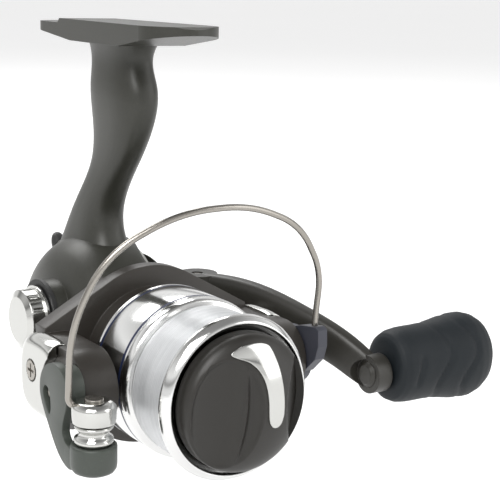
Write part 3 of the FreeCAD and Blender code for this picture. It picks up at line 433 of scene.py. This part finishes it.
KNOB_CENTRE = Vector((0.0378, -0.0346, -0.0674))
KNOB_RINGS = [
    # distance out, half depth, half height, all in mm
    (4.3, 3.6, 4.1), (4.3, 4.6, 5.1), (4.5, 5.5, 6.1), (5.1, 6.2, 6.9), (6.4, 6.6, 7.5), (8.2, 6.75, 7.75),
    (10.0, 6.8, 7.8), (12.5, 6.85, 7.8), (15.0, 7.0, 7.9), (17.5, 7.3, 8.25), (20.0, 7.6, 8.7), (22.4, 7.75, 9.0),
    (24.5, 7.7, 9.0), (26.5, 7.2, 8.45), (28.2, 6.35, 7.45), (29.4, 5.2, 6.1), (30.2, 3.6, 4.3), (30.6, 1.8, 2.2),
]


# middle of each groove, how much it bows and how far up it reaches, in mm
KNOB_GROOVES = [(15.2, 1.5, 8.0), (21.6, 1.7, 9.5), (8.8, 0.6, 3.4)]
GROOVE_DEPTH = 0.55
GROOVE_WIDTH = 0.55


def knob_ring(bm, far, deep, high):
    made = bmesh.ops.create_circle(bm, segments=72, radius=1.0, cap_ends=False)
    turn = Matrix.Rotation(math.radians(90), 4, "Y")
    scale = Matrix.Diagonal((1.0, deep * MM, high * MM, 1.0))
    shift = Matrix.Translation(KNOB_CENTRE + Vector((far * MM, 0.0, 0.0)))
    bmesh.ops.transform(bm, matrix=shift @ scale @ turn, verts=made["verts"])
    ring = set(made["verts"])
    return [e for e in bm.edges if e.verts[0] in ring and e.verts[1] in ring]


def make_handle_knob():
    bm = bmesh.new()
    rings = [knob_ring(bm, *row) for row in KNOB_RINGS]
    for first, second in zip(rings, rings[1:]):
        bmesh.ops.bridge_loops(bm, edges=first + second)
    bmesh.ops.holes_fill(bm, edges=[e for e in bm.edges if e.is_boundary], sides=0)
    lengthwise = [e for e in bm.edges if abs(e.verts[0].co.x - e.verts[1].co.x) > 0.5 * MM]
    bmesh.ops.subdivide_edges(bm, edges=lengthwise, cuts=3, smooth=0.0, use_grid_fill=True)
    for vert in bm.verts:
        out, along, rise = (vert.co - KNOB_CENTRE) / MM
        inward = Vector((0.0, -along, -rise))
        if inward.length < 0.001:
            continue
        depth = 0.0
        for middle, bow, reach in KNOB_GROOVES:
            line = middle + bow * math.sin(rise * 0.42)
            fade = max(0.0, 1.0 - (rise / reach) ** 4)
            depth += GROOVE_DEPTH * fade * math.exp(-((out - line) / GROOVE_WIDTH) ** 2)
        vert.co += inward.normalized() * depth * MM
    return finished_piece("handle_grip", bm, "handle_knob", ["handle_knob"], "grip")


# ---------------------------------------------------------------- drag knob

DOME_EDGE = 15.3
DOME_HEIGHT = 4.1
DOME_RADIUS = 12.72
# each finger hollow's middle across the knob and half width, in mm
HOLLOWS = [(-5.2, 6.6), (13.2, 6.3)]
HOLLOW_DEPTH = 2.7
CREASE_HEIGHT = 2.0
CREASE_WIDTH = 0.95


def knob_dome(out, rise):
    """How far along the axis the drag knob's front stands before its hollows."""
    share = max(0.0, 1.0 - (out * out + rise * rise) / DOME_RADIUS ** 2)
    return -DOME_EDGE - DOME_HEIGHT * share ** 0.55


def knob_front(out, rise):
    """The dome with a finger hollow each side of the ridge and a soft crease down the left one."""
    along = knob_dome(out, rise)
    for middle, half in HOLLOWS:
        inside = 1.0 - ((out - middle) / half) ** 2 - ((rise + 0.8) / 9.8) ** 2
        if inside <= 0.0:
            continue
        along += HOLLOW_DEPTH * inside ** 0.6
        if middle < 0.0:
            crease = -1.7 - 0.012 * min(0.0, rise - 2.0) ** 2
            along -= CREASE_HEIGHT * math.exp(-abs(out - crease) / CREASE_WIDTH) * inside ** 0.5
    return along


def make_drag_knob():
    front = [(12.1 * k / 44, -19.4) for k in range(45)]
    back = [
        (12.45, -16.0), (12.65, -15.5), (12.7, -15.1), (12.7, -12.9), (12.6, -12.6), (12.3, -12.5), (4.5, -12.5),
        (4.4, -12.4), (4.4, -11.2), (3.95, -11.1), (3.9, -14.0), (0.0, -14.0),
    ]
    bm = spun_about_hub(front + back, 220)
    for vert in bm.verts:
        out, along, rise = from_hub(vert)
        if along < -DOME_EDGE - 0.4:
            vert.co.y = HUB.y + knob_front(out, rise) * MM
    return finished_piece("drag_knob_moulding", bm, "drag_knob", ["drag_knob"], "knob_plastic")


CRESCENT = [
    (-4.9, 10.0), (-2.7, 11.1), (0.0, 11.4), (1.8, 11.3), (3.3, 10.8), (4.0, 9.5), (4.8, 7.0), (5.4, 4.4),
    (5.8, 1.2), (5.9, -2.0), (5.4, -3.6), (4.5, -4.2), (3.5, -4.0), (2.7, -3.1), (2.4, -1.4), (2.3, 1.4),
    (1.7, 4.6), (0.4, 7.0), (-1.4, 8.6), (-3.5, 9.3),
]


CRESCENT_PROUD = 0.28
CRESCENT_THICK = 0.7


def make_crescent():
    """The bright inlay that lies a little proud of the drag knob's ridge."""
    bm = bmesh.new()
    edges = outlined(bm, [hub(out, 0.0, rise) for out, rise in CRESCENT])[1]
    bmesh.ops.subdivide_edges(bm, edges=edges, cuts=4)
    for turn in range(4):
        bmesh.ops.smooth_vert(bm, verts=bm.verts, factor=0.5, use_axis_x=True, use_axis_z=True)
    bmesh.ops.triangle_fill(bm, use_beauty=True, use_dissolve=False, edges=bm.edges[:])
    for turn in range(2):
        bmesh.ops.subdivide_edges(bm, edges=[e for e in bm.edges if not e.is_boundary], cuts=1)
        bmesh.ops.triangulate(bm, faces=bm.faces)
    for vert in bm.verts:
        out, _, rise = from_hub(vert)
        vert.co.y = HUB.y + (knob_dome(out, rise) - CRESCENT_PROUD) * MM
    thickened(bm, (0.0, CRESCENT_THICK, 0.0))
    eased(bm, 0.16, 50.0)
    return finished_piece("drag_knob_crescent", bm, "drag_knob", ["drag_knob_insert"], "bright_trim")


# ---------------------------------------------------------------- bail arm and roller stack

ARM_PLATE = [
    (9.5, 0.4), (9.1, 3.0), (7.4, 5.0), (5.0, 6.2), (2.4, 6.4), (0.2, 5.7), (-1.4, 4.2), (-1.9, 2.0),
    (-1.6, -0.4), (-0.6, -2.4), (0.3, -4.4), (0.2, -6.2), (-1.6, -7.2), (-4.6, -7.4), (-4.6, -11.5),
    (-1.2, -11.3), (1.6, -10.0), (3.8, -7.9), (5.8, -5.6), (7.8, -3.2), (9.2, -1.2),
]
ARM_SLOT = [
    (8.1, 0.2), (7.4, 1.4), (6.2, 1.5), (5.2, 0.5), (4.8, -1.2), (4.8, -3.0), (5.4, -3.7), (6.4, -2.9),
    (7.6, -1.4),
]
ARM_FRONT = [
    (-1.8, 2.0), (-1.3, 4.0), (0.2, 5.5), (2.6, 6.0), (4.6, 5.4), (4.2, -1.0), (2.4, -4.4), (0.5, -4.5),
    (-0.6, -2.6), (-1.5, -0.4),
]


ROLLER_OUT, ROLLER_ALONG = -24.4, -5.0
CUP_OUTLINE = [
    (0.0, -6.45), (2.9, -6.45), (3.2, -6.35), (3.85, -6.35), (4.05, -6.5), (4.1, -6.8), (4.1, -9.8),
    (4.0, -10.6), (3.6, -11.2), (2.8, -11.6), (0.0, -11.7),
]
COLLAR_OUTLINE = [
    (1.02, -2.5), (3.5, -2.5), (3.75, -2.42), (3.85, -2.2), (3.85, -1.9), (3.93, -1.7), (3.93, 0.35),
    (3.86, 0.62), (3.5, 0.98), (3.15, 1.32), (2.9, 1.4), (1.75, 1.4), (1.02, 1.4),
]
ROLLER_BORE = 1.55
ROLLER_WIDEST = 3.8
# radius in mm, share of the roller's height
ROLLER_OUTLINE = [
    (ROLLER_BORE, 0.0), (3.3, 0.0), (3.75, 0.05), (3.8, 0.2), (3.7, 0.32), (3.2, 0.40), (2.95, 0.50),
    (2.9, 0.60), (3.05, 0.70), (3.5, 0.80), (3.72, 0.86), (3.76, 0.95), (3.6, 1.0), (ROLLER_BORE, 1.0),
]
ARM_BRIDGE = [(-0.6, -7.0), (-4.6, -7.0), (-4.6, -11.4), (-0.8, -11.2)]


def make_bail_arm():
    plate = side_plate([ARM_PLATE, ARM_SLOT], -28.0, -26.45, 0.42)
    front = side_plate([ARM_FRONT], -26.55, -24.4, 0.35)
    cup = spun_upright(CUP_OUTLINE, ROLLER_OUT, ROLLER_ALONG)
    bridge = side_plate([ARM_BRIDGE], -27.9, -24.4, 0.5)
    return finished_piece("bail_arm_shell", joined(plate, front, cup, bridge), "bail", ["bail_arm"], "bail_plate")


def make_collar():
    bm = spun_upright(COLLAR_OUTLINE, ROLLER_OUT, ROLLER_ALONG)
    return finished_piece("collar_turned", bm, "bail", ["wire_collar"], "bright_trim")


def make_roller():
    low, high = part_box("line_roller")
    bottom = (low.z - HUB.z) / MM
    tall = (high.z - low.z) / MM
    reach = (high.x - low.x) / 2 / MM / ROLLER_WIDEST
    profile = [(r * reach if r > ROLLER_BORE else r, bottom + tall * share) for r, share in ROLLER_OUTLINE]
    bm = spun_upright(profile, ROLLER_OUT, ROLLER_ALONG)
    return finished_piece("roller_turned", bm, "line_roller", ["line_roller"], "bright_trim")


PIVOT_ALONG = 6.6
SCREW_OUTLINE = [
    (0.0, 27.15), (0.5, 27.2), (0.7, 27.3), (1.1, 27.28), (1.3, 27.1), (1.32, 26.6), (1.3, 24.1), (0.0, 24.1),
]


def pivot_screw(side):
    """A low round-headed screw at a bail pivot, with a shallow dimple; side is -1 or 1."""
    return spun(SCREW_OUTLINE, lambda radius, out: hub(side * out, PIVOT_ALONG, radius),
                hub(0.0, PIVOT_ALONG, 0.0), (1.0, 0.0, 0.0), 64)


def make_pivot_screws():
    bm = joined(pivot_screw(-1), pivot_screw(1))
    return finished_piece("pivot_screws", bm, "rotor", ["bail_pivot_screws"], "steel")


make_spool()
make_line()
make_handle_knob()
make_bail_arm()
make_collar()
make_roller()
make_pivot_screws()
make_drag_knob()
make_crescent()
softened("rotor", "rotor", 0.7)


# ---------------------------------------------------------------- stage, light and camera

CRANK_ROOM = 30.0 * MM
FLOOR_RADIUS = 40.0
FLOOR_GLOW = 0.46
# height of a direction, brightness of the sky there
SKY_LEVELS = [(0.0, 1.0), (0.11, 0.95), (0.17, 0.22), (0.32, 1.1), (0.55, 0.8), (0.9, 0.3)]


def make_stage():
    """A plain pale floor that reaches the horizon, low enough to clear the crank at every turn."""
    bm = bmesh.new()
    bmesh.ops.create_circle(bm, segments=64, radius=FLOOR_RADIUS, cap_ends=True)
    bmesh.ops.translate(bm, vec=(0.0, 0.0, cad_box[0][2] - CRANK_ROOM), verts=bm.verts)
    mesh = bpy.data.meshes.new("floor")
    bm.to_mesh(mesh)
    bm.free()
    floor = bpy.data.objects.new("floor", mesh)
    bpy.context.scene.collection.objects.link(floor)
    f = Finish("pale_floor")
    colour = f.blend(f.noise(3.0, 2.0), (0.60, 0.60, 0.60), (0.64, 0.64, 0.64))
    mesh.materials.append(f.surface(
        base_color=colour, roughness=0.8, emission_color=(1.0, 1.0, 1.0), emission_strength=FLOOR_GLOW,
    ))


def lamp(name, place, target, width, height, power):
    data = bpy.data.lights.new(name, "AREA")
    data.shape = "RECTANGLE"
    data.size = width
    data.size_y = height
    data.energy = power
    light = bpy.data.objects.new(name, data)
    light.location = place
    light.rotation_euler = (Vector(target) - Vector(place)).to_track_quat("-Z", "Y").to_euler()
    bpy.context.scene.collection.objects.link(light)


def make_sky():
    """A plain studio sky, with a dark band low down for bright metal to reflect."""
    world = bpy.data.worlds.new("studio")
    bpy.context.scene.world = world
    world.use_nodes = True
    tree = world.node_tree
    place = tree.nodes.new("ShaderNodeTexCoord")
    split = tree.nodes.new("ShaderNodeSeparateXYZ")
    ramp = tree.nodes.new("ShaderNodeValToRGB")
    tree.links.new(place.outputs["Generated"], split.inputs[0])
    tree.links.new(split.outputs["Z"], ramp.inputs[0])
    tree.links.new(ramp.outputs[0], tree.nodes["Background"].inputs["Color"])
    stops = ramp.color_ramp.elements
    for index, (position, level) in enumerate(SKY_LEVELS):
        stop = stops[index] if index < 2 else stops.new(position)
        stop.position = position
        stop.color = (level, level, level, 1.0)


def make_light():
    middle = (0.0, -0.01, -0.04)
    lamp("key_box", (-0.55, -0.55, 0.75), middle, 0.7, 0.7, 11.0)
    lamp("fill_box", (0.75, -0.65, 0.25), middle, 0.5, 0.9, 2.5)
    lamp("back_box", (0.1, 0.9, 0.9), middle, 1.0, 0.6, 9.0)
    make_sky()
    bpy.context.scene.view_settings.view_transform = "Standard"


CAMERA_PLACE = (-0.1207, -0.2277, 0.0082)
CAMERA_RIGHT = (0.8335, -0.5518, 0.0267)
CAMERA_FORWARD = (0.5450, 0.8134, -0.2035)


def make_camera():
    data = bpy.data.cameras.new("camera")
    data.lens = 92.9
    data.sensor_width = 36.0
    data.clip_start = 0.01
    camera = bpy.data.objects.new("camera", data)
    right = Vector(CAMERA_RIGHT).normalized()
    forward = Vector(CAMERA_FORWARD).normalized()
    up = right.cross(forward).normalized()
    right = forward.cross(up).normalized()
    turn = Matrix((right, up, -forward)).transposed().to_4x4()
    camera.matrix_world = Matrix.Translation(CAMERA_PLACE) @ turn
    bpy.context.scene.collection.objects.link(camera)
    bpy.context.scene.camera = camera


make_stage()
make_light()
make_camera()
